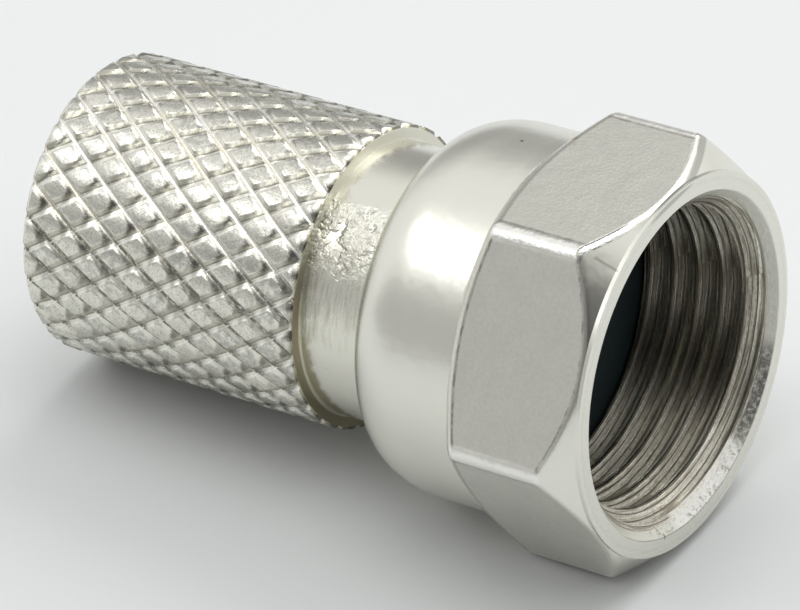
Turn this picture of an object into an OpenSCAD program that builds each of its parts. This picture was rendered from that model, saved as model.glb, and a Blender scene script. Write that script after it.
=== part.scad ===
// Twist-on coaxial F plug. The cable screws into the knurled body, and a hex
// coupling nut turns freely on the body's flange. A rubber washer seals the port.
// X is the plug's axis, +X out of the mating end; Z is up; a hex flat lies down.
// X = 0 is the front face of the body's flange.

/* [Coupling nut] */
// hexagon across flats
nut_af = 11; // [10.8:0.1:11.2]
// front face of the nut, ahead of the flange's front face
nut_front_x = 5.3; // [4.8:0.1:6]
// front face ring, outer diameter
face_d = 10.72; // [10.4:0.02:10.9]
// depth of the front hex chamfer, at 45 degrees to the axis
front_chamfer_deg = 45; // [30:1:60]
// where the hex corners end at the rear, behind the front face
hex_len = 3.75; // [3.2:0.05:4.5]
// how far the rear chamfer runs back from corner to collar
rear_chamfer_run = 0.5; // [0.2:0.05:0.8]
// turned collar behind the hexagon
collar_d = 10.86; // [10.6:0.02:10.98]
// front face to the start of the rolled dome
dome_start = 6.1; // [5.4:0.1:6.8]
// front face to the rear end of the nut
nut_len = 7.87; // [7.2:0.01:9]
// outer edge of the rolled lip's rear face
lip_edge_d = 8.7; // [8.4:0.05:9.2]
// female thread, measured at its root (3/8-32)
thread_d = 9.525; // [9.5:0.005:9.6]
// mouth chamfer, radial width outside the thread's root, and depth
mouth_chamfer = 0.21; // [0.1:0.01:0.3]
mouth_depth = 0.25; // [0.15:0.05:0.5]
// wall of the collar round the chamber that holds the flange
chamber_wall = 0.48; // [0.4:0.02:0.7]

/* [Body] */
// flange that the nut turns on, thickness
flange_t = 1.2; // [0.9:0.1:1.6]
// plain neck between nut and knurl
neck_d = 8.0; // [7.6:0.05:8.2]
// front step of the knurled sleeve, behind the flange's front face
knurl_front = 4.81; // [4.4:0.01:5.4]
// hole for the cable's dielectric
dielectric_d = 4.8; // [4.6:0.1:5.2]
dielectric_len = 2.4; // [1.8:0.1:3]
// root of the coarse cable thread
cable_d = 6.8; // [6.4:0.1:7.2]
// lead-in chamfer at the rear mouth, and its depth
lead_d = 7.4; // [6.8:0.1:7.6]
lead_depth = 0.35; // [0.2:0.05:0.6]

/* [Knurl] */
// over the pads
knurl_d = 8.88; // [8.6:0.02:9.2]
// groove depth
groove_depth = 0.15; // [0.12:0.01:0.3]
// grooves of each hand around the sleeve
starts = 28; // [20:1:36]
// length of one diamond along the axis
pitch = 1.534; // [1.2:0.002:1.8]
// diamonds along the sleeve
diamonds = 6; // [4:1:8]
// pad size as a share of the diamond
pad_share = 0.62; // [0.5:0.02:0.8]
// rounded rear edge, length and drop
edge_len = 0.29; // [0.2:0.01:0.5]
edge_drop = 0.34; // [0.1:0.02:0.4]
// bevel of the turned core's end
end_bevel = 0.05; // [0.02:0.01:0.1]

/* [Gasket] */
// how far the washer's edge stays inside the flange's
gasket_inset = 0.27; // [0.15:0.01:0.5]
// how far its hole stands outside the dielectric's
gasket_ledge = 0.2; // [0.05:0.05:0.6]
gasket_t = 1.15; // [0.8:0.05:1.5]

/* [Fits] */
// radial running clearance of the nut on the neck and the flange
nut_fit = 0.08; // [0.02:0.01:0.1]
// axial play of the nut, each side of the flange and washer
nut_play = 0.1; // [0.05:0.05:0.3]

/* [Hidden] */

fn = 96;
corner_r = nut_af / 2 / cos(30);
mouth_d = thread_d + 2 * mouth_chamfer;
chamber_d = collar_d - 2 * chamber_wall;
flange_d = chamber_d - 2 * nut_fit;
gasket_d = flange_d - 2 * gasket_inset;
gasket_bore_d = dielectric_d + 2 * gasket_ledge;
front_run = (corner_r - face_d / 2) * tan(90 - front_chamfer_deg);
nut_rear_x = nut_front_x - nut_len;
lip_d = neck_d + 2 * nut_fit;
chamber_front = gasket_t + nut_play;
chamber_rear = -flange_t - nut_play;
knurl_r = knurl_d / 2;
root_r = knurl_r - groove_depth;
step = 180 / starts;
rows = 2 * diamonds;
knurl_len = diamonds * pitch;
rear_x = -knurl_front - knurl_len - edge_len;
seat_run = (cable_d - dielectric_d) / 2;
inner_r = (neck_d + lead_d) / 4;

body();
coupling_nut();
gasket();

// turns a profile of [radius, x] points about the X axis
module turned(points) rotate([0, 90, 0]) rotate_extrude($fn = fn) polygon(points);

// a plain cylinder on the X axis from x0 to x1
module rod(d, x0, x1) translate([x0, 0, 0]) rotate([0, 90, 0]) cylinder(d = d, h = x1 - x0, $fn = fn);

// One turned brass piece, nickel plated: flange, neck and knurled cable sleeve.
module body()
    color([0.80, 0.79, 0.75])
    difference() {
        union() {
            turned([[0, 0], [flange_d / 2, 0], [flange_d / 2, -flange_t], [neck_d / 2, -flange_t],
                [neck_d / 2, rear_x + end_bevel], [neck_d / 2 - end_bevel, rear_x], [0, rear_x]]);
            knurled_sleeve();
        }
        turned([[0, 1], [dielectric_d / 2, 1], [dielectric_d / 2, -dielectric_len],
            [cable_d / 2, -dielectric_len - seat_run], [cable_d / 2, rear_x + lead_depth],
            [lead_d / 2, rear_x], [lead_d / 2, rear_x - 1], [0, rear_x - 1]]);
    }

// A point on the sleeve: radius, turn in half pitches, distance behind the step in half pitches.
function at(r, a, k) = [-knurl_front - k * pitch / 2, -r * cos(a * step), r * sin(a * step)];

// Crossed grooves cut pyramids with flat tops. Rows of groove crossings alternate
// round the sleeve, and each cell between four crossings carries one diamond pad.
// The sleeve is a tube that the turned core runs through.
module knurled_sleeve() {
    n = starts;
    p = pad_share;
    // crossings: row k = 0..rows, n in each, staggered by half a turn step
    cross = [for (k = [0 : rows], i = [0 : n - 1]) at(root_r, 2 * i + k % 2, k)];
    // pads: centre row k = 0..rows; the end rows are cut in half by the end faces
    pads = [for (k = [0 : rows], i = [0 : n - 1]) let (c = 2 * i + 1 + k % 2) each [
        at(knurl_r, c, max(k - p, 0)), at(knurl_r, c, min(k + p, rows)),
        at(knurl_r, c - p, k), at(knurl_r, c + p, k)]];
    nc = len(cross);
    np = len(pads);
    // rings of one point per crossing and two per half pad: round the rear edge, and inside
    function ring(rc, rp, k) = [for (i = [0 : n - 1]) each [
        at(rc, 2 * i, k), at(rp, 2 * i + 1 - p, k), at(rp, 2 * i + 1 + p, k)]];
    back = (edge_len - end_bevel) / (pitch / 2);
    rings = concat(
        ring(root_r - edge_drop / 6, knurl_r - edge_drop / 3, rows + back * 0.55),
        ring(knurl_r - edge_drop, knurl_r - edge_drop, rows + back),
        ring(inner_r, inner_r, rows + back), ring(inner_r, inner_r, 0));
    function X(k, i) = k * n + (i + n) % n;
    function P(k, i, q) = nc + 4 * (k * n + (i + n) % n) + q;
    // point j of ring q; ring 0 is the end row's own edge, ring 5 the front row's
    function E(q, j) = let (t = (j + 3 * n) % (3 * n), i = floor(t / 3), h = t % 3)
        q == 0 ? (h == 0 ? X(rows, i) : P(rows, i, h + 1))
        : q == 5 ? (h == 0 ? X(0, i) : P(0, i, h + 1)) : nc + np + (q - 1) * 3 * n + t;
    faces = [
        for (k = [0 : rows], i = [0 : n - 1]) let (
            f = P(k, i, 0), b = P(k, i, 1), l = P(k, i, 2), r = P(k, i, 3),
            cl = X(k, i), cr = X(k, i + 1), cf = X(k - 1, i + k % 2), cb = X(k + 1, i + k % 2)) each concat(
                k > 0 ? [[f, l, r], [f, cf, cl], [f, cl, l], [f, r, cr], [f, cr, cf]] : [],
                k < rows ? [[b, r, l], [b, cl, cb], [b, l, cl], [b, cr, r], [b, cb, cr]] : []),
        for (q = [0 : 4], j = [0 : 3 * n - 1]) each [
            [E(q, j), E(q, j + 1), E(q + 1, j + 1)], [E(q, j), E(q + 1, j + 1), E(q + 1, j)]]
    ];
    polyhedron(points = concat(cross, pads, rings), faces = faces, convexity = 6);
}

// Hexagon turned down at both ends, collar and rolled lip behind it.
module coupling_nut()
    color([0.78, 0.78, 0.75])
    difference() {
        intersection() {
            union() {
                translate([nut_front_x - hex_len - rear_chamfer_run, 0, 0]) rotate([0, 90, 0])
                    rotate([0, 0, 30]) cylinder(r = corner_r, h = hex_len + rear_chamfer_run, $fn = 6);
                rod(collar_d, nut_rear_x, nut_front_x - hex_len + 1);
            }
            turned(concat([[0, nut_front_x], [face_d / 2, nut_front_x],
                [corner_r + 0.1, nut_front_x - front_run - 0.1],
                [corner_r + 0.1, nut_front_x - hex_len + 0.06],
                [collar_d / 2, nut_front_x - hex_len - rear_chamfer_run]],
                [for (t = [0 : 7.5 : 90]) [
                    lip_edge_d / 2 + (collar_d - lip_edge_d) / 2 * cos(t),
                    nut_front_x - dome_start - (nut_len - dome_start) * sin(t)]],
                [[0, nut_rear_x]]));
        }
        turned([[0, nut_front_x + 1], [mouth_d / 2, nut_front_x + 1], [mouth_d / 2, nut_front_x],
            [thread_d / 2, nut_front_x - mouth_depth], [thread_d / 2, chamber_front],
            [chamber_d / 2, chamber_front], [chamber_d / 2, chamber_rear],
            [lip_d / 2, chamber_rear], [lip_d / 2, nut_rear_x - 1], [0, nut_rear_x - 1]]);
    }

// Flat rubber washer, face to face on the flange.
module gasket()
    color([0.05, 0.07, 0.06])
    difference() {
        rod(gasket_d, 0, gasket_t);
        rod(gasket_bore_d, -1, gasket_t + 1);
    }
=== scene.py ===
import bpy
import bmesh
import math
from mathutils import Matrix, Vector


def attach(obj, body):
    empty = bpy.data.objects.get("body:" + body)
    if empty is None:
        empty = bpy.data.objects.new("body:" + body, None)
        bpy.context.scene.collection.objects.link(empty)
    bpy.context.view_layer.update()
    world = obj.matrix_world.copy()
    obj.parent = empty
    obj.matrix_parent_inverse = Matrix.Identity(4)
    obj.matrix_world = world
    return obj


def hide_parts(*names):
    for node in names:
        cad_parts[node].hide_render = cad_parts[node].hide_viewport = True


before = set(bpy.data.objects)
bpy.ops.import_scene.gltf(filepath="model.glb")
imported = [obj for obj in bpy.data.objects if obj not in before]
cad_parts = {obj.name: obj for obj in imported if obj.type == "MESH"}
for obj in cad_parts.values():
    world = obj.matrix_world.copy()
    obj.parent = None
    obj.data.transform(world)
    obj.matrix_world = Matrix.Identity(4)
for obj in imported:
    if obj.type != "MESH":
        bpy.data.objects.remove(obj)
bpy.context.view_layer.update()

# ---------------------------------------------------------------- neck and flange
# The body of the plug is one piece of brass bar, turned on a lathe and nickel plated.
# This is its turned part: the flange inside the nut, the plain polished neck, and the
# core that runs back under the knurl with the hole for the cable drilled through it.
NECK_R = 4.0
FLANGE_R, FLANGE_T = 4.87, 1.2
DIELECTRIC_R, DIELECTRIC_LEN = 2.4, 2.4
CABLE_R, LEAD_R, LEAD_DEPTH = 3.4, 3.7, 0.35
STEP_X, STEP_R, STEP_PROUD, STEP_BACK = -4.81, 4.37, 0.012, 0.25
REAR_X = -14.304


def turned(outline, steps=192):
    """A closed outline of (x, radius, corner round) in mm, spun about the X axis."""
    bm = bmesh.new()
    corners = [bm.verts.new((x / 1000, -r / 1000, 0)) for x, r, c in outline]
    for a, b in zip(corners, corners[1:] + corners[:1]):
        bm.edges.new((a, b))
    for size in sorted({c for x, r, c in outline if c}):
        picked = [v for v, (x, r, c) in zip(corners, outline) if c == size and v.is_valid]
        bmesh.ops.bevel(bm, geom=picked, offset=size / 1000, offset_type="OFFSET", segments=4,
                        profile=0.5, affect="VERTICES", material=-1)
    bmesh.ops.spin(bm, geom=bm.verts[:] + bm.edges[:], cent=(0, 0, 0), axis=(1, 0, 0), dvec=(0, 0, 0),
                   angle=2 * math.pi, steps=steps, use_merge=True, use_duplicate=False)
    bmesh.ops.remove_doubles(bm, verts=bm.verts[:], dist=1e-7)
    bmesh.ops.recalc_face_normals(bm, faces=bm.faces[:])
    return bm


def add_piece(bm, name, material, body, sharp_deg=28):
    """Turns a finished bmesh into a piece that rides on a body."""
    mesh = bpy.data.meshes.new(name)
    bm.to_mesh(mesh)
    bm.free()
    for face in mesh.polygons:
        face.use_smooth = True
    mesh.set_sharp_from_angle(angle=math.radians(sharp_deg))
    mesh.materials.append(material)
    piece = bpy.data.objects.new(name, mesh)
    bpy.context.scene.collection.objects.link(piece)
    weighted = piece.modifiers.new("flat faces stay flat", "WEIGHTED_NORMAL")
    weighted.keep_sharp = True
    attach(piece, body)
    return piece


class Finish:
    """A surface as a node material. Places are in mm, and each method adds one kind of mark."""

    def __init__(self, name, color, roughness, metallic=1.0):
        self.material = bpy.data.materials.new(name)
        self.material.use_nodes = True
        self.tree = self.material.node_tree
        self.shader = self.tree.nodes["Principled BSDF"]
        self.shader.inputs["Metallic"].default_value = metallic
        place = self.node("TexCoord").outputs["Object"]
        self.place = self.mapped(place, (1000, 1000, 1000))
        self.x, self.y, self.z = self.node("SeparateXYZ", {0: self.place}).outputs
        squares = [self.math("MULTIPLY", side, side) for side in (self.y, self.z)]
        self.radius = self.math("SQRT", self.math("ADD", *squares))
        # degrees round the X axis, 0 at -Y and rising towards +Z
        turn = self.math("ARCTAN2", self.z, self.math("MULTIPLY", self.y, -1))
        self.angle = self.math("MULTIPLY", turn, 180 / math.pi)
        self.color, self.rough, self.height = color, roughness, None

    def node(self, kind, inputs=None, **settings):
        made = self.tree.nodes.new("ShaderNode" + kind)
        for key, value in settings.items():
            setattr(made, key, value)
        for key, value in (inputs or {}).items():
            if isinstance(value, bpy.types.NodeSocket):
                self.tree.links.new(value, made.inputs[key])
            else:
                made.inputs[key].default_value = value
        return made

    def mapped(self, vector, scale, shift=(0, 0, 0)):
        return self.node("Mapping", {"Vector": vector, "Scale": scale, "Location": shift}).outputs[0]

    def math(self, op, a, b=0.0):
        return self.node("Math", {0: a, 1: b}, operation=op).outputs[0]

    def ramp(self, value, low, high, to_low=0.0, to_high=1.0):
        return self.node("MapRange", {"Value": value, "From Min": low, "From Max": high, "To Min": to_low,
                                      "To Max": to_high}, interpolation_type="SMOOTHSTEP").outputs["Result"]

    def band(self, value, low, high, soft):
        """1 between low and high, fading to 0 over the soft distance outside."""
        rise = self.ramp(value, low - soft, low)
        return self.math("MULTIPLY", rise, self.ramp(value, high, high + soft, 1.0, 0.0))

    def both(self, *masks):
        out = masks[0]
        for mask in masks[1:]:
            out = self.math("MULTIPLY", out, mask)
        return out

    def near(self, point, size, soft, stretch=(1, 1, 1)):
        """1 within size mm of a point, fading out over the soft distance."""
        away = self.node("VectorMath", {0: self.mapped(self.place, stretch),
                                        1: [p * s for p, s in zip(point, stretch)]}, operation="DISTANCE")
        return self.ramp(away.outputs["Value"], size, size + soft, 1.0, 0.0)

    def noise(self, scale, detail=4.0, rough=0.55, stretch=(1, 1, 1), shift=(0, 0, 0), of=None):
        """Noise with about this many marks to the mm."""
        return self.node("TexNoise", {"Vector": self.mapped(of or self.place, stretch, shift), "Scale": scale,
                                      "Detail": detail, "Roughness": rough}).outputs["Fac"]

    def tint(self, amount, color):
        before = self.color if isinstance(self.color, bpy.types.NodeSocket) else (*self.color, 1)
        mixed = self.node("Mix", {"Factor": amount, 6: before, 7: (*color, 1)}, data_type="RGBA")
        self.color = mixed.outputs[2]

    def dull(self, amount, by):
        self.rough = self.math("ADD", self.math("MULTIPLY", amount, by), self.rough)

    def raise_by(self, value, mm):
        more = self.math("MULTIPLY", value, mm)
        self.height = more if self.height is None else self.math("ADD", self.height, more)

    def done(self):
        self.tree.links.new(self.color, self.shader.inputs["Base Color"])
        kept = self.math("MINIMUM", self.math("MAXIMUM", self.rough, 0.06), 0.9)
        self.tree.links.new(kept, self.shader.inputs["Roughness"])
        bump = self.node("Bump", {"Strength": 1.0, "Distance": 0.001, "Height": self.height})
        self.tree.links.new(bump.outputs[0], self.shader.inputs["Normal"])
        return self.material


polished = Finish("polished nickel neck", (0.77, 0.76, 0.675), 0.17)
lathe_rings = polished.noise(7, 4, 0.6, (1, 0.02, 0.02))
polished.dull(lathe_rings, 0.08)
polished.raise_by(lathe_rings, 0.0035)
brushed_part = polished.band(polished.angle, 10, 46, 8)
brushed = polished.noise(9, 5, 0.7, (1, 0.10, 0.10), (2, 0, 0))
polished.dull(polished.both(brushed_part, brushed), 0.12)
polished.raise_by(polished.both(brushed_part, brushed), 0.022)
polished.tint(polished.both(brushed_part, polished.ramp(brushed, 0.45, 0.7)), (0.58, 0.56, 0.46))
scuffed_part = polished.both(polished.band(polished.angle, 42, 60, 12), polished.ramp(polished.x, -1.0, -3.0),
                             polished.ramp(polished.noise(1.6, 3, 0.6, (1, 1, 1), (0, 4, 0)), 0.40, 0.52))
scuffs = polished.noise(6, 4, 0.7, (0.7, 1, 1), (3, 0, 0))
polished.dull(polished.both(scuffed_part, polished.ramp(scuffs, 0.5, 0.7)), 0.08)
polished.raise_by(polished.both(scuffed_part, scuffs), 0.075)
polished.tint(polished.both(scuffed_part, polished.ramp(scuffs, 0.54, 0.60)), (0.58, 0.57, 0.50))
polished.dull(polished.ramp(polished.noise(1.2, 4, 0.6, (1, 1, 1), (9, 0, 0)), 0.45, 0.75), 0.10)

# the step up to the knurl is a plain turned ring, rougher, and tinted a dark tan that is faint on top and
# full on its near and lower side
step_ring = polished.both(polished.ramp(polished.x, STEP_X - 0.05, STEP_X),
                          polished.ramp(polished.radius, NECK_R + 0.03, NECK_R + 0.08))
polished.tint(polished.both(step_ring, polished.ramp(polished.angle, 60, 15, 0.1, 1.0)), (0.42, 0.38, 0.27))
polished.dull(step_ring, 0.15)

neck = turned([
    (0, DIELECTRIC_R, 0), (0, FLANGE_R, 0.06), (-FLANGE_T, FLANGE_R, 0.06), (-FLANGE_T, NECK_R, 0),
    (STEP_X + STEP_PROUD, NECK_R, 0), (STEP_X + STEP_PROUD, STEP_R, 0.05),
    (STEP_X - STEP_BACK, STEP_R - 0.1, 0), (STEP_X - STEP_BACK, NECK_R, 0),
    (REAR_X + 0.05, NECK_R, 0), (REAR_X, NECK_R - 0.05, 0), (REAR_X, LEAD_R, 0.03),
    (REAR_X + LEAD_DEPTH, CABLE_R, 0), (-DIELECTRIC_LEN - (CABLE_R - DIELECTRIC_R), CABLE_R, 0),
    (-DIELECTRIC_LEN, DIELECTRIC_R, 0)], 256)
neck_piece = add_piece(neck, "neck_and_flange", polished.done(), "body")

# ---------------------------------------------------------------- knurled sleeve
# Two rolls with slanting teeth press crossed grooves into the outside of the body, and
# leave a grip of small flat-topped diamonds. The rolls crush their edges, and the
# plating keeps a yellow cast at the bottom of the grooves.
KNURL_R, GROOVE_R = 4.44, 4.29
KNURL_STARTS, KNURL_PITCH, PAD_HALF = 28, 1.534, 0.33
DEEPER_ROUND, SHALLOWER_ROUND, PAD_ROUND = 0.07, 0.035, 0.028

sleeve = bmesh.new()
sleeve.from_mesh(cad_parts["body"].data)
bmesh.ops.remove_doubles(sleeve, verts=sleeve.verts[:], dist=1e-6)


def radii(item):
    """The distances in mm of an edge's or face's points from the X axis."""
    return [math.hypot(v.co.y, v.co.z) * 1000 for v in item.verts]


def stations(item):
    """The places in mm of an edge's or face's points along the X axis."""
    return [v.co.x * 1000 for v in item.verts]


inside = [f for f in sleeve.faces if max(stations(f)) > STEP_X + 0.01 or min(radii(f)) < NECK_R - 0.02]
bmesh.ops.delete(sleeve, geom=inside, context="FACES")
bmesh.ops.bridge_loops(sleeve, edges=[e for e in sleeve.edges if e.is_boundary])
bmesh.ops.recalc_face_normals(sleeve, faces=sleeve.faces[:])
groove_bottoms = [e for e in sleeve.edges if e.calc_face_angle() > math.radians(24)
                  and max(radii(e)) < GROOVE_R + 0.01 and min(radii(e)) > GROOVE_R - 0.03
                  and max(stations(e)) - min(stations(e)) > 0.1]


def falls_forward(e):
    """True on the grooves that run down the near side towards the nut."""
    a, b = sorted(e.verts, key=lambda v: v.co.x)
    turn = math.atan2(b.co.z, -b.co.y) - math.atan2(a.co.z, -a.co.y)
    return (turn + math.pi) % (2 * math.pi) < math.pi


# the roll that pressed last leaves the wider, unbroken grooves
deeper = [e for e in groove_bottoms if falls_forward(e)]
bmesh.ops.bevel(sleeve, geom=deeper, offset=DEEPER_ROUND / 1000, offset_type="OFFSET", segments=2,
                profile=0.5, affect="EDGES", clamp_overlap=True, material=-1)
shallower = [e for e in groove_bottoms if e.is_valid]
bmesh.ops.bevel(sleeve, geom=shallower, offset=SHALLOWER_ROUND / 1000, offset_type="OFFSET", segments=2,
                profile=0.5, affect="EDGES", clamp_overlap=True, material=-1)
pad_edges = [e for e in sleeve.edges if e.calc_face_angle() > math.radians(20)
             and min(radii(e)) > KNURL_R - 0.02 and max(stations(e)) < STEP_X - 0.02]
bmesh.ops.bevel(sleeve, geom=pad_edges, offset=PAD_ROUND / 1000, offset_type="OFFSET", segments=3,
                profile=0.5, affect="EDGES", clamp_overlap=True, material=-1)

grip = Finish("knurled nickel", (0.79, 0.775, 0.69), 0.20)
# places across the two families of grooves: a groove at each whole number, a pad between
row = grip.math("DIVIDE", grip.math("SUBTRACT", STEP_X, grip.x), KNURL_PITCH / 2)
column = grip.math("DIVIDE", grip.angle, 180 / KNURL_STARTS)
across, numbers = [], []
for op in ("ADD", "SUBTRACT"):
    cell = grip.math("DIVIDE", grip.math(op, column, row), 2)
    across.append(grip.math("SUBTRACT", grip.math("FRACT", cell), 0.5))
    numbers.append(grip.math("FLOORED_MODULO", grip.math("FLOOR", cell), KNURL_STARTS))
rising, falling = across
pad_number = grip.node("CombineXYZ", {0: numbers[0], 1: numbers[1]}).outputs[0]
pad_color = grip.node("TexWhiteNoise", {"Vector": pad_number}).outputs["Color"]
chance = grip.node("SeparateXYZ", {0: pad_color}).outputs
# each pad leans a little its own way, and is a little crushed
for place, lean in zip(across, chance):
    on_pad = grip.math("MAXIMUM", grip.math("MINIMUM", place, PAD_HALF), -PAD_HALF)
    grip.raise_by(grip.both(on_pad, on_pad), -0.07)
    grip.raise_by(grip.both(on_pad, grip.math("SUBTRACT", lean, 0.5)), 0.15)
pressed = grip.noise(5, 4, 0.65)
fine = grip.noise(14, 3, 0.6)
pad_top = grip.ramp(grip.radius, KNURL_R - 0.04, KNURL_R - 0.01)
greyed = grip.both(pad_top, grip.ramp(pressed, 0.38, 0.60), grip.ramp(chance[2], 0.1, 0.9, 0.25, 0.9))
grip.tint(greyed, (0.50, 0.50, 0.46))
grip.tint(grip.both(pad_top, grip.ramp(fine, 0.52, 0.62), 0.5), (0.40, 0.39, 0.35))
# painted shade: the corner of every pad towards the nut is darkened
towards_nut = grip.math("SUBTRACT", falling, rising)
corner = grip.ramp(grip.math("ADD", towards_nut, grip.math("MULTIPLY", pressed, 0.25)), 0.52, 0.68)
grip.tint(grip.both(corner, grip.ramp(chance[0], 0.15, 0.5, 0.3, 0.85)), (0.22, 0.21, 0.18))
# painted shade on one wall of every rising groove
shaded_front_wall = grip.ramp(rising, -0.30, -0.36)
grip.tint(grip.both(shaded_front_wall, 0.75), (0.45, 0.44, 0.36))
# painted shade on the under wall of every falling groove, stronger on the lower side
shaded_under_wall = grip.ramp(falling, -0.31, -0.36)
grip.tint(grip.both(shaded_under_wall, grip.ramp(grip.angle, 75, 35, 0.15, 0.6)), (0.42, 0.41, 0.35))
# the last roll's grooves get a painted highlight and, in places, a yellow cast; underneath they are painted
# darker as shade
shaded_low_side = grip.ramp(grip.angle, 40, 22)
cast = grip.ramp(grip.noise(0.5, 3), 0.38, 0.62)
bright = grip.ramp(grip.math("ABSOLUTE", falling), 0.43, 0.45)
grip.tint(bright, (0.94, 0.93, 0.88))
grip.tint(grip.both(bright, cast, 0.7), (0.80, 0.74, 0.56))
grip.tint(grip.both(bright, shaded_low_side, grip.ramp(pressed, 0.35, 0.55, 0.45, 1.0)), (0.22, 0.21, 0.17))
# a painted highlight along one edge of every pad
ridge_highlight = grip.band(rising, 0.355, 0.385, 0.02)
grip.tint(grip.both(ridge_highlight, grip.ramp(pressed, 0.35, 0.5), 0.8), (0.93, 0.92, 0.87))
# painted shade: a dark line in the bottom of every rising groove, between the falling grooves
shaded_groove_line = grip.band(rising, -0.5, -0.455, 0.02)
between_grooves = grip.ramp(grip.math("ABSOLUTE", falling), 0.42, 0.38)
grip.tint(grip.both(shaded_groove_line, between_grooves, 0.75), (0.28, 0.27, 0.22))
step_face = grip.ramp(grip.x, STEP_X - 0.03, STEP_X - 0.005)
grip.tint(step_face, (0.40, 0.37, 0.28))
grip.dull(grip.ramp(pressed, 0.4, 0.65), 0.12)
grip.raise_by(fine, 0.004)
grip.raise_by(pressed, 0.014)
add_piece(sleeve, "knurled_sleeve", grip.done(), "body", 50)
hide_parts("body")

# ---------------------------------------------------------------- cable thread
# A coarse ridge cut inside the rear of the body. The cable's jacket is turned into it by
# hand, and the ridge bites into the soft plastic and the folded braid.
CABLE_PITCH, CABLE_RIDGE = 1.5, 0.28
CABLE_FIRST, CABLE_TURNS = -13.4, 6.2


def ridge(profile, pitch, first, turns, steps=96):
    """A thread's ridge: a closed profile of (x, radius) in mm, spun forward from x = first along a helix."""
    bm = bmesh.new()
    ring = [bm.verts.new(((first + x) / 1000, -r / 1000, 0)) for x, r in profile]
    for a, b in zip(ring, ring[1:] + ring[:1]):
        bm.edges.new((a, b))
    count = round(turns * steps)
    bmesh.ops.spin(bm, geom=bm.verts[:] + bm.edges[:], cent=(0, 0, 0), axis=(1, 0, 0),
                   dvec=(pitch / 1000 / steps, 0, 0), angle=2 * math.pi * count / steps, steps=count,
                   use_merge=False, use_duplicate=False)
    bmesh.ops.holes_fill(bm, edges=[e for e in bm.edges if e.is_boundary], sides=0)
    bmesh.ops.recalc_face_normals(bm, faces=bm.faces[:])
    return bm


cable_ridge = ridge([(-0.42, CABLE_R + 0.05), (-0.08, CABLE_R - CABLE_RIDGE + 0.03),
                     (-0.04, CABLE_R - CABLE_RIDGE), (0.04, CABLE_R - CABLE_RIDGE),
                     (0.08, CABLE_R - CABLE_RIDGE + 0.03), (0.42, CABLE_R + 0.05)],
                    CABLE_PITCH, CABLE_FIRST, CABLE_TURNS)
add_piece(cable_ridge, "cable_thread", polished.material, "body")

# ---------------------------------------------------------------- sealing washer
# A flat ring punched from dark rubber. It lies on the flange inside the nut and keeps
# water out of the joint when the nut is tightened on its port.
WASHER_R, WASHER_HOLE_R, WASHER_T = 4.6, 2.6, 1.15
rubber = Finish("dark rubber", (0.016, 0.028, 0.030), 0.5, metallic=0.0)
rubber.shader.inputs["Specular IOR Level"].default_value = 0.35
bloom = rubber.noise(0.9, 5)
rubber.tint(rubber.ramp(bloom, 0.45, 0.8, 0.0, 0.5), (0.03, 0.05, 0.05))
rubber.dull(bloom, 0.2)
rubber.raise_by(rubber.noise(9, 4), 0.01)
washer = turned([(0.0, WASHER_HOLE_R, 0.05), (0.0, WASHER_R, 0.05), (WASHER_T, WASHER_R, 0.12),
                 (WASHER_T, WASHER_HOLE_R, 0.12)], 160)
washer_piece = add_piece(washer, "rubber_washer", rubber.done(), "body")
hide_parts("gasket")

# ---------------------------------------------------------------- coupling nut
# Turned from 11 mm hexagon brass bar: both ends of the hexagon are chamfered in the
# lathe, the rear is a round collar, and its end is rolled inwards over the body's flange
# so that the nut can turn but not come off. Satin nickel, with its corners worn round.
FRONT_X, HALF_AF = 5.3, 5.5
FACE_R, MOUTH_R, MOUTH_DEPTH = 5.36, 4.97, 0.25
HEX_REAR, CHAMFER_RUN, COLLAR_R = 1.55, 0.5, 5.43
DOME_X, REAR_FACE_X, LIP_EDGE_R, LIP_R = -0.8, -2.57, 4.35, 4.08
ROOT_R, CHAMBER_R, CHAMBER_FRONT, CHAMBER_REAR = 4.7625, 4.95, 1.25, -1.3
CORNER_R = HALF_AF / math.cos(math.radians(30))
COLLAR_FRONT = HEX_REAR - CHAMFER_RUN
REAR_SLOPE = CHAMFER_RUN / (CORNER_R - COLLAR_R)


def soft_min(a, b, soft):
    """The smaller of two radii, with the corner between them rounded."""
    h = max(soft - abs(a - b), 0) / soft
    return min(a, b) - h * h * soft / 4


def nut_radius(x, degrees):
    """The nut's outside in its hexagon: six flats, cut back by a cone at each end."""
    turn = degrees % 60
    flats = soft_min(HALF_AF / math.cos(math.radians(turn - 30)),
                     HALF_AF / math.cos(math.radians(turn + 30 if turn < 30 else turn - 90)), 0.24)
    front_cone = FACE_R + FRONT_X - x
    rear_cone = COLLAR_R + (x - COLLAR_FRONT) / REAR_SLOPE
    return max(soft_min(soft_min(flats, front_cone, 0.12), rear_cone, 0.40), COLLAR_R)


dome = [(DOME_X + (REAR_FACE_X - DOME_X) * math.sin(math.radians(t)),
         LIP_EDGE_R + (COLLAR_R - LIP_EDGE_R) * math.cos(math.radians(t)), 0) for t in range(0, 91, 6)]
front_cuts = [FRONT_X - 0.13 - 0.03 * i for i in range(35)]
rear_cuts = [COLLAR_FRONT + 0.02 * i for i in range(36, 0, -1)]
nut = turned(
    [(FRONT_X, MOUTH_R, 0.03), (FRONT_X, FACE_R, 0.12)]
    + [(x, CORNER_R, 0) for x in front_cuts + [3.7, 3.1, 2.5, 2.1] + rear_cuts]
    + [(COLLAR_FRONT, COLLAR_R, 0), (COLLAR_FRONT - 0.04, COLLAR_R, 0)] + dome
    + [(REAR_FACE_X, LIP_R, 0.08), (CHAMBER_REAR, LIP_R, 0), (CHAMBER_REAR, CHAMBER_R, 0),
       (CHAMBER_FRONT, CHAMBER_R, 0), (CHAMBER_FRONT, ROOT_R, 0), (FRONT_X - MOUTH_DEPTH, ROOT_R, 0)], 360)
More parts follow.
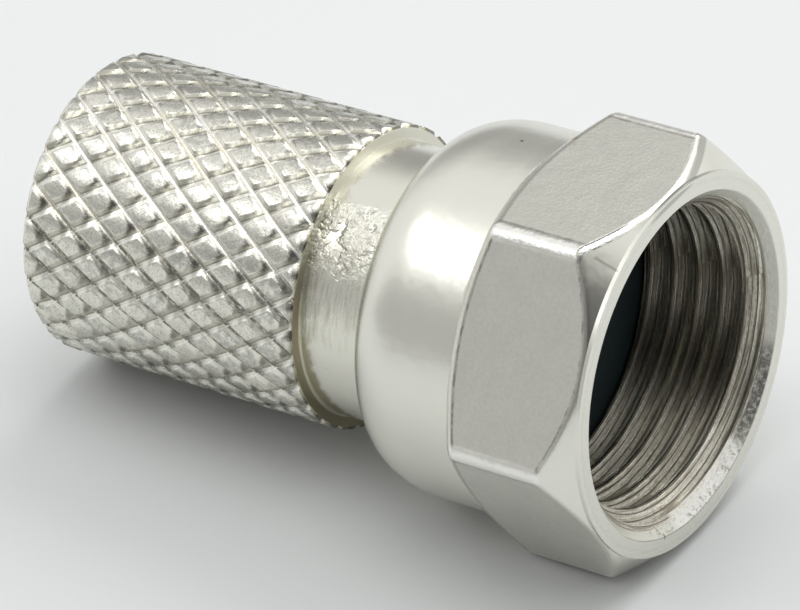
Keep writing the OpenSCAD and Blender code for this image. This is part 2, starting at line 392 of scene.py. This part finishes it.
for v in nut.verts:
    r = math.hypot(v.co.y, v.co.z) * 1000
    if abs(r - CORNER_R) < 0.01:
        wanted = nut_radius(v.co.x * 1000, math.degrees(math.atan2(v.co.z, -v.co.y)))
        v.co.y *= wanted / r
        v.co.z *= wanted / r

satin = Finish("satin nickel nut", (0.77, 0.763, 0.69), 0.30)
front_gap = satin.math("SUBTRACT", satin.math("SUBTRACT", FRONT_X + FACE_R, satin.radius), satin.x)
rear_gap = satin.math("SUBTRACT", satin.math("SUBTRACT", satin.x, COLLAR_FRONT),
                      satin.math("MULTIPLY", satin.math("SUBTRACT", satin.radius, COLLAR_R), REAR_SLOPE))
flat_part = satin.both(satin.ramp(front_gap, 0.0, 0.06), satin.ramp(rear_gap, 0.0, 0.06),
                       satin.ramp(satin.radius, 5.2, 5.3))
turned_part = satin.math("SUBTRACT", 1.0, flat_part)
# the flats: rolled bar, fine grained and a little mottled
grain = satin.noise(10, 3, 0.6)
mottle = satin.noise(1.1, 6, 0.6)
satin.tint(satin.both(satin.ramp(mottle, 0.35, 0.75), flat_part, 0.30), (0.64, 0.63, 0.57))
satin.tint(satin.both(satin.ramp(grain, 0.35, 0.7), flat_part, 0.35), (0.60, 0.60, 0.54))
satin.raise_by(satin.both(grain, flat_part), 0.0055)
satin.raise_by(satin.both(mottle, flat_part), 0.012)
# the turned faces: smoother, with faint tool rings and slow waves
tool_rings = satin.noise(5, 4, 0.6, (1, 0.02, 0.02))
waves = satin.noise(0.8, 3, 0.5, (1, 1, 1), (5, 0, 0))
satin.dull(turned_part, -0.07)
satin.dull(satin.both(turned_part, tool_rings), 0.06)
satin.raise_by(satin.both(tool_rings, turned_part), 0.002)
satin.raise_by(satin.both(waves, turned_part), 0.022)
# wear: dark pits and a soft dark line inside the curved ends of the flats; inside the left flat's front end a
# painted dark reflection broken by pits, along the upper corners a painted shadow line, and on the upper
# front edge a burr with a painted highlight
pits = satin.noise(2.2, 4, 0.7, (1, 1, 1), (0, 7, 0))
blur = satin.math("MULTIPLY", satin.math("SUBTRACT", satin.noise(4, 3, 0.6), 0.5), 0.06)
rear_line = satin.both(satin.band(satin.math("ADD", rear_gap, blur), 0.215, 0.225, 0.035),
                       satin.ramp(pits, 0.44, 0.62), satin.band(satin.angle, -2, 58, 3))
soft_line = satin.both(satin.band(satin.math("ADD", rear_gap, blur), 0.20, 0.24, 0.05), 0.45)
# painted dark reflection, broken by pits, inside the front end of the left flat
front_pits_and_reflection = satin.both(satin.band(satin.math("ADD", front_gap, blur), 0.09, 0.11, 0.03),
                        satin.ramp(pits, 0.46, 0.62, 0.2, 0.8), satin.band(satin.angle, 0, 57, 3))
# painted shadow line along the upper corners, broken by pits
corner_shadow_line = satin.both(satin.band(satin.math("ADD", satin.radius, blur), 6.17, 6.19, 0.03),
                         satin.ramp(satin.z, 5.3, 5.4), satin.ramp(pits, 0.35, 0.6, 0.3, 0.8))
for line in (soft_line, rear_line, front_pits_and_reflection, corner_shadow_line):
    satin.tint(satin.both(line, flat_part, satin.ramp(satin.radius, 5.46, 5.49), 0.8), (0.20, 0.19, 0.16))
# a burr on the front edge near the corner, with a painted highlight on it
burr_highlight = satin.both(satin.ramp(front_gap, 0.09, 0.05), satin.band(satin.angle, 58, 68, 8),
                     satin.ramp(satin.z, 5.36, 5.42))
satin.tint(burr_highlight, (0.90, 0.89, 0.86))
satin.dull(burr_highlight, -0.08)
satin.raise_by(satin.both(burr_highlight, satin.noise(3.5, 3, 0.6)), 0.10)
# the hex corners are worn round, and painted lighter as a highlight
worn_corner_highlight = satin.both(satin.ramp(satin.radius, 6.17, 6.25), satin.ramp(satin.x, 4.6, 4.4))
satin.tint(worn_corner_highlight, (0.86, 0.85, 0.80))
satin.raise_by(satin.both(worn_corner_highlight, satin.noise(2.2, 3, 0.6)), 0.035)
# the upper flat's rim, painted darker as shade where the highlight ends
shaded_top_rim = satin.both(satin.band(front_gap, -0.03, 0.10, 0.03), satin.ramp(satin.angle, 72, 84),
                     satin.ramp(satin.z, 5.25, 5.3))
satin.tint(satin.both(shaded_top_rim, 0.8), (0.42, 0.42, 0.38))
# the corner's line across the chamfer, a stain, a speck and a nick at the mouth
crease = satin.both(satin.band(satin.angle, 60.8, 61.0, 0.6), satin.band(satin.x, 4.72, 5.18, 0.08),
                    satin.ramp(satin.radius, 5.3, 5.35))
satin.tint(satin.both(crease, 0.5), (0.30, 0.27, 0.20))
satin.tint(satin.both(satin.near((1.27, 1.49, 5.5), 0.05, 0.09, (0.6, 1, 1)), 0.7), (0.42, 0.31, 0.12))
satin.tint(satin.both(satin.near((1.50, 1.20, 5.5), 0.02, 0.06), 0.5), (0.55, 0.42, 0.25))
satin.tint(satin.near((-0.05, 0.93, 5.35), 0.03, 0.03), (0.10, 0.11, 0.11))
nick = satin.both(satin.band(satin.angle, -69.0, -68.6, 0.4), satin.band(satin.radius, 4.93, 5.03, 0.04),
                  satin.ramp(satin.x, 5.0, 5.1))
satin.tint(satin.both(nick, 0.8), (0.16, 0.15, 0.12))
# the mouth: torn by the tap, with a painted highlight below, dark chips in it, and painted shade on one side
mouth = satin.both(satin.ramp(satin.radius, 5.0, 4.96), satin.ramp(satin.x, 4.9, 5.0))
torn = satin.noise(6, 6, 0.75, (1, 1, 1), (0, 0, 9))
satin.dull(mouth, 0.06)
satin.raise_by(satin.both(mouth, torn), 0.07)
# painted highlight on the lower side of the mouth
satin.tint(satin.both(mouth, satin.band(satin.angle, -118, -80, 5)), (0.90, 0.89, 0.85))
chipped = satin.both(mouth, satin.band(satin.angle, -116, -66, 8), satin.ramp(torn, 0.52, 0.60))
satin.tint(satin.both(chipped, 0.75), (0.34, 0.33, 0.26))
# painted shade on one side of the mouth
shaded_side = satin.both(mouth, satin.band(satin.angle, -150, -124, 8))
satin.tint(satin.both(shaded_side, satin.ramp(torn, 0.25, 0.60)), (0.17, 0.165, 0.15))
nut_piece = add_piece(nut, "hex_coupling_nut", satin.done(), "coupling_nut", 32)
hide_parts("coupling_nut")

# ---------------------------------------------------------------- port thread
# The fine right-hand thread in the nut, 32 turns to the inch, cut with a tap. It runs out
# into the washer's chamber, and the cone at the mouth cuts its last turns away.
PITCH, CREST_R = 0.79375, 4.33
FLANK = math.tan(math.radians(30))
MOUTH_SLOPE = (MOUTH_R - ROOT_R) / MOUTH_DEPTH
PHASE = 0.13

crest_half = PITCH / 8
root_half = crest_half + (ROOT_R + 0.05 - CREST_R) * FLANK
flank_steps = [i / 6 for i in range(7)]
rear_flank = [(-root_half + (root_half - crest_half) * t, ROOT_R + 0.05 + (CREST_R - ROOT_R - 0.05) * t)
              for t in flank_steps]
crest = [(crest_half * t, CREST_R) for t in (-0.9, -0.5, 0, 0.5, 0.9)]
profile = rear_flank + crest + [(-x, r) for x, r in reversed(rear_flank)]
first = CHAMBER_FRONT - root_half + PHASE
port_ridge = ridge(profile, PITCH, first, (FRONT_X - first) / PITCH + 0.3, 180)
bmesh.ops.bisect_plane(port_ridge, geom=port_ridge.verts[:] + port_ridge.edges[:] + port_ridge.faces[:],
                       plane_co=(CHAMBER_FRONT / 1000, 0, 0), plane_no=(-1, 0, 0), clear_outer=True)
ends = bmesh.ops.holes_fill(port_ridge, edges=[e for e in port_ridge.edges if e.is_boundary], sides=0)
bmesh.ops.triangulate(port_ridge, faces=ends["faces"])
for v in port_ridge.verts:
    r = math.hypot(v.co.y, v.co.z) * 1000
    x = min(v.co.x * 1000, FRONT_X - 0.10)
    v.co.x = x / 1000
    cone = ROOT_R + (x - FRONT_X + MOUTH_DEPTH) * MOUTH_SLOPE
    hidden = 0.02 if x > FRONT_X - 0.14 else 0.004 if x > FRONT_X - MOUTH_DEPTH - 0.01 else 0.0
    wanted = max(r, cone + hidden)
    v.co.y *= wanted / r
    v.co.z *= wanted / r

cut = Finish("cut nickel thread", (0.72, 0.69, 0.60), 0.20)
# where a point lies across the ridge, in pitches: whole numbers on its crest, halves at the root
from_start = cut.math("ARCTAN2", cut.math("MULTIPLY", cut.z, -1), cut.math("MULTIPLY", cut.y, -1))
turns = cut.math("DIVIDE", from_start, 2 * math.pi)
lead = cut.math("FRACT", cut.math("SUBTRACT", cut.math("DIVIDE", cut.math("SUBTRACT", cut.x, first), PITCH),
                                  cut.math("SUBTRACT", turns, 0.5)))
helix = cut.node("CombineXYZ", {0: cut.math("MULTIPLY", lead, PITCH), 1: cut.radius,
                                2: cut.math("MULTIPLY", cut.angle, 0.004)}).outputs[0]
streaks = cut.noise(13, 5, 0.7, of=helix)
torn = cut.noise(7, 5, 0.7)
off_root = cut.math("ABSOLUTE", cut.math("SUBTRACT", lead, 0.5))
cut.tint(cut.ramp(streaks, 0.46, 0.62), (0.34, 0.31, 0.24))
cut.tint(cut.both(cut.ramp(off_root, 0.34, 0.38), cut.ramp(streaks, 0.62, 0.45), 0.8), (0.86, 0.84, 0.74))
wandering = cut.math("ADD", off_root, cut.math("MULTIPLY", torn, 0.03))
# near-black lines along the ridge: painted shade in the root, and two thin dark lines on each flank
for low, high in ((-0.085, 0.045), (0.35, 0.36), (0.215, 0.225)):
    cut.tint(cut.both(cut.band(wandering, low, high, 0.018), 0.85), (0.08, 0.07, 0.055))
cut.tint(cut.both(cut.ramp(torn, 0.5, 0.7), 0.5), (0.24, 0.21, 0.16))
# painted shade on two sides of the thread near the mouth
shaded_thread_side = cut.math("MAXIMUM", cut.ramp(cut.angle, -115, -145), cut.ramp(cut.angle, 165, 178))
shaded_thread_side = cut.both(shaded_thread_side, cut.ramp(cut.x, 4.9, 4.2), cut.ramp(streaks, 0.30, 0.5, 0.3, 0.8))
cut.tint(shaded_thread_side, (0.15, 0.13, 0.10))
cut.dull(streaks, 0.16)
cut.raise_by(streaks, 0.035)
cut.raise_by(torn, 0.014)
past_cone = cut.math("SUBTRACT", cut.x, FRONT_X - MOUTH_DEPTH)
cone_r = cut.math("ADD", cut.math("MULTIPLY", past_cone, MOUTH_SLOPE), ROOT_R)
lead_in = cut.both(cut.band(cut.math("SUBTRACT", cut.radius, cone_r), -0.02, 0.04, 0.02),
                   cut.ramp(cut.x, 4.4, 4.6))
# painted highlight on the lower side of the lead-in
cut.tint(cut.both(lead_in, cut.band(cut.angle, -118, -80, 5)), (0.90, 0.88, 0.82))
cut.raise_by(cut.both(lead_in, torn), 0.06)
add_piece(port_ridge, "port_thread", cut.done(), "coupling_nut", 25)

# ---------------------------------------------------------------- setting
# A pale table top, a soft box above to the left and a dim room in front. The plug lies
# on its nut and on the rear edge of the knurl, so the table is set to touch both.
TABLE_RISE = math.atan2(1.2, 15.3)
UNDER_NUT_X, UNDER_NUT_Z = 1.1, -5.52
ROOM_LIGHT = 0.95
bm = bmesh.new()
bmesh.ops.create_grid(bm, x_segments=1, y_segments=1, size=1.5)
bmesh.ops.rotate(bm, verts=bm.verts[:], cent=(0, 0, 0), matrix=Matrix.Rotation(TABLE_RISE, 3, "Y"))
bmesh.ops.translate(bm, verts=bm.verts[:], vec=(UNDER_NUT_X / 1000, 0, UNDER_NUT_Z / 1000))
mesh = bpy.data.meshes.new("table")
bm.to_mesh(mesh)
bm.free()
table = bpy.data.objects.new("table", mesh)
bpy.context.scene.collection.objects.link(table)
paper = bpy.data.materials.new("white table")
paper.use_nodes = True
paper.node_tree.nodes["Principled BSDF"].inputs["Base Color"].default_value = (0.70, 0.715, 0.715, 1)
paper.node_tree.nodes["Principled BSDF"].inputs["Roughness"].default_value = 0.7
table.data.materials.append(paper)

world = bpy.data.worlds.new("room")
bpy.context.scene.world = world
world.use_nodes = True
tree = world.node_tree
sky = tree.nodes["Background"]
spot = tree.nodes.new("ShaderNodeTexCoord")
light = None
# the parts of the room that are darker: at the left, beside and in front of the table, and behind
for direction, near_edge, core, floor in (((-0.55, -0.80, 0.10), 0.78, 0.90, 0.55),
                                          ((0.38, -0.80, 0.46), 0.78, 0.93, 0.22),
                                          ((0.87, -0.36, 0.33), 0.84, 0.95, 0.12),
                                          ((-0.50, 0.85, 0.10), 0.70, 0.96, 0.42)):
    facing = tree.nodes.new("ShaderNodeVectorMath")
    facing.operation = "DOT_PRODUCT"
    facing.inputs[1].default_value = direction
    tree.links.new(spot.outputs["Generated"], facing.inputs[0])
    shade = tree.nodes.new("ShaderNodeMapRange")
    shade.interpolation_type = "SMOOTHSTEP"
    for key, v in (("From Min", near_edge), ("From Max", core), ("To Min", 1.0), ("To Max", floor)):
        shade.inputs[key].default_value = v
    tree.links.new(facing.outputs["Value"], shade.inputs["Value"])
    product = tree.nodes.new("ShaderNodeMath")
    product.operation = "MULTIPLY"
    product.inputs[0].default_value = ROOM_LIGHT
    if light:
        tree.links.new(light, product.inputs[0])
    tree.links.new(shade.outputs["Result"], product.inputs[1])
    light = product.outputs[0]
tree.links.new(light, sky.inputs["Strength"])
sky.inputs["Color"].default_value = (1, 1, 1, 1)

for name, toward, far, wide, high, watts in (
        ("soft box left", (-0.503, -0.361, 0.787), 0.35, 0.22, 0.09, 0.10),
        ("soft box above", (0.10, -0.05, 0.99), 0.50, 0.30, 0.30, 0.45),
        ("soft box behind", (0.10, 0.72, 0.68), 0.45, 0.35, 0.25, 0.70)):
    lamp_data = bpy.data.lights.new(name, "AREA")
    lamp_data.shape = "RECTANGLE"
    lamp_data.size, lamp_data.size_y = wide, high
    lamp_data.energy = watts
    lamp = bpy.data.objects.new(name, lamp_data)
    bpy.context.scene.collection.objects.link(lamp)
    lamp.location = Vector(toward) * far
    lamp.rotation_euler = (-lamp.location).to_track_quat("-Z", "Y").to_euler()

# ---------------------------------------------------------------- camera
# It looks down on the mating end from the front, with a long lens.
azimuth, elevation, roll = math.radians(37.486), math.radians(34.249), math.radians(-7.145)
back = Vector((math.sin(azimuth) * math.cos(elevation), -math.cos(azimuth) * math.cos(elevation),
               math.sin(elevation)))
right = Vector((math.cos(azimuth), math.sin(azimuth), 0))
up = back.cross(right)
side = math.cos(roll) * right + math.sin(roll) * up
top = -math.sin(roll) * right + math.cos(roll) * up
camera_data = bpy.data.cameras.new("camera")
camera_data.sensor_width = 36
camera_data.lens = 5957.657 * 36 / 800
camera_data.clip_start, camera_data.clip_end = 0.01, 20
camera = bpy.data.objects.new("camera", camera_data)
bpy.context.scene.collection.objects.link(camera)
place = Vector((-2.7, 0, 0)) + side * -1.184 + top * -0.268 + back * 167.053
camera.matrix_world = Matrix.Translation(place / 1000) @ Matrix((side, top, back)).transposed().to_4x4()
bpy.context.scene.camera = camera
bpy.context.scene.view_settings.view_transform = "Standard"
